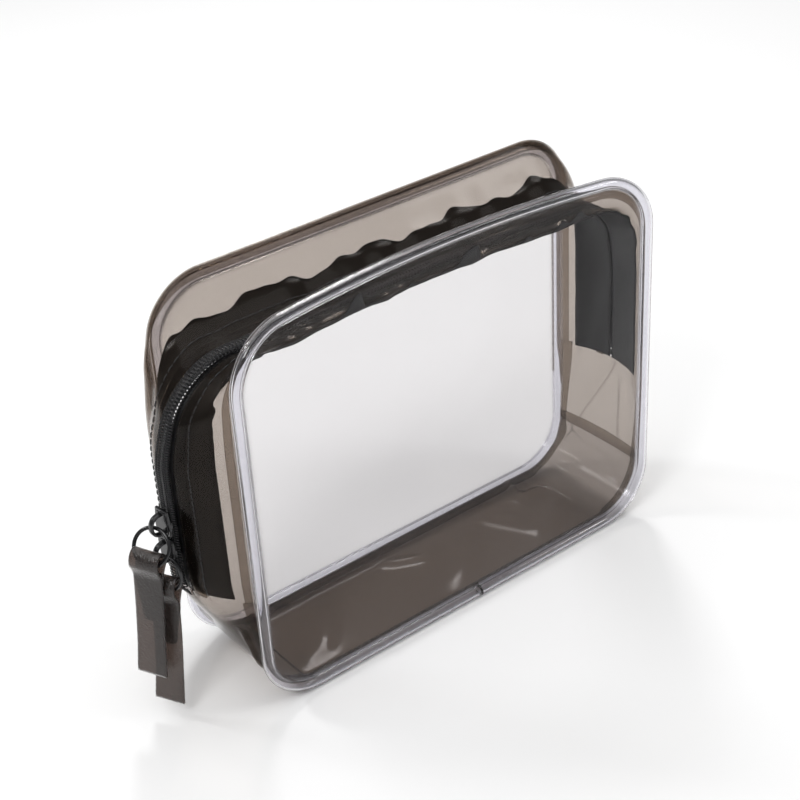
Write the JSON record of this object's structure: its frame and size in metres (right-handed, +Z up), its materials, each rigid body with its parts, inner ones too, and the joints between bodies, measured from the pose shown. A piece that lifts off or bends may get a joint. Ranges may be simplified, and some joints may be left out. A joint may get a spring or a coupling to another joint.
{
  "type": "makeup bag",
  "caption": "Clear travel makeup bag with piped clear walls, a smoky gusset and a black two-way coil zip with strap pulls.",
  "frame": {"origin": "on the underside of the bottom gusset, midway between the ends and between the walls", "axes": "+X to the right along the walls, +Y to the back wall, +Z up; the sliders hang at the left end"},
  "size_m": [0.23, 0.054, 0.152],
  "materials": {
    "clear_pvc": "clear soft PVC film and bead, glossy",
    "smoky_pvc": "smoky grey-brown translucent PVC film, glossy",
    "zip_tape": "black woven polyester tape",
    "zip_coil": "black nylon coil, semi-gloss",
    "black_metal": "black enamelled zinc and wire, glossy",
    "strap_pvc": "dark smoky PVC strap with a fine leather grain"
  },
  "bodies": {
    "root": {"back_panel": "clear_pvc", "back_piping": "clear_pvc", "bottom_gusset": "smoky_pvc", "back_zip_gusset": "smoky_pvc", "back_zip_tape": "zip_tape", "back_coil": "zip_coil", "back_tape_stitching": "zip_tape", "left_gusset_seam": "smoky_pvc", "right_gusset_seam": "smoky_pvc", "left_bar_tack": "zip_tape", "right_bar_tack": "zip_tape"},
    "front_wall": {"front_panel": "clear_pvc", "front_piping": "clear_pvc", "front_zip_gusset": "smoky_pvc", "front_zip_tape": "zip_tape", "front_coil": "zip_coil", "front_tape_stitching": "zip_tape"},
    "lower_slider": {"lower_slider_body": "black_metal", "lower_slider_bridge": "black_metal"},
    "upper_slider": {"upper_slider_body": "black_metal", "upper_slider_bridge": "black_metal"},
    "lower_ring": {"lower_ring": "black_metal"},
    "upper_ring": {"upper_ring": "black_metal"},
    "lower_strap": {"lower_strap": "strap_pvc"},
    "upper_strap": {"upper_strap": "strap_pvc"}
  },
  "joints": [
    {"name": "mouth_opening", "type": "hinge", "parent": "root", "child": "front_wall", "pos_m": [0, -0.0245, 0.0025], "axis": [1, 0, 0], "range_deg": [0, 14]},
    {"name": "lower_slider_travel", "type": "slide", "parent": "root", "child": "lower_slider", "axis": [0, 0, 1], "range_m": [0, 0.008]},
    {"name": "upper_slider_travel", "type": "slide", "parent": "lower_slider", "child": "upper_slider", "axis": [0, 0, 1], "range_m": [0, 0.006]},
    {"name": "lower_ring_swing", "type": "hinge", "parent": "lower_slider", "child": "lower_ring", "pos_m": [-0.11542, -0.00067, 0.0671], "axis": [-0.5, 0.866, 0], "range_deg": [0, 110]},
    {"name": "upper_ring_swing", "type": "hinge", "parent": "upper_slider", "child": "upper_ring", "pos_m": [-0.11542, -0.00067, 0.0786], "axis": [-0.5, 0.866, 0], "range_deg": [0, 110]},
    {"name": "lower_strap_swing", "type": "hinge", "parent": "lower_ring", "child": "lower_strap", "pos_m": [-0.11694, -0.00221, 0.05394], "axis": [-0.5, 0.866, 0], "range_deg": [0, 12]},
    {"name": "upper_strap_swing", "type": "hinge", "parent": "upper_ring", "child": "upper_strap", "pos_m": [-0.12195, -0.00268, 0.06707], "axis": [-0.5, 0.866, 0], "range_deg": [0, 12]}
  ],
  "couplings": [
    {"joint": "lower_ring_swing", "follows": "upper_ring_swing", "ratio": 1},
    {"joint": "lower_strap_swing", "follows": "upper_strap_swing", "ratio": 1}
  ]
}
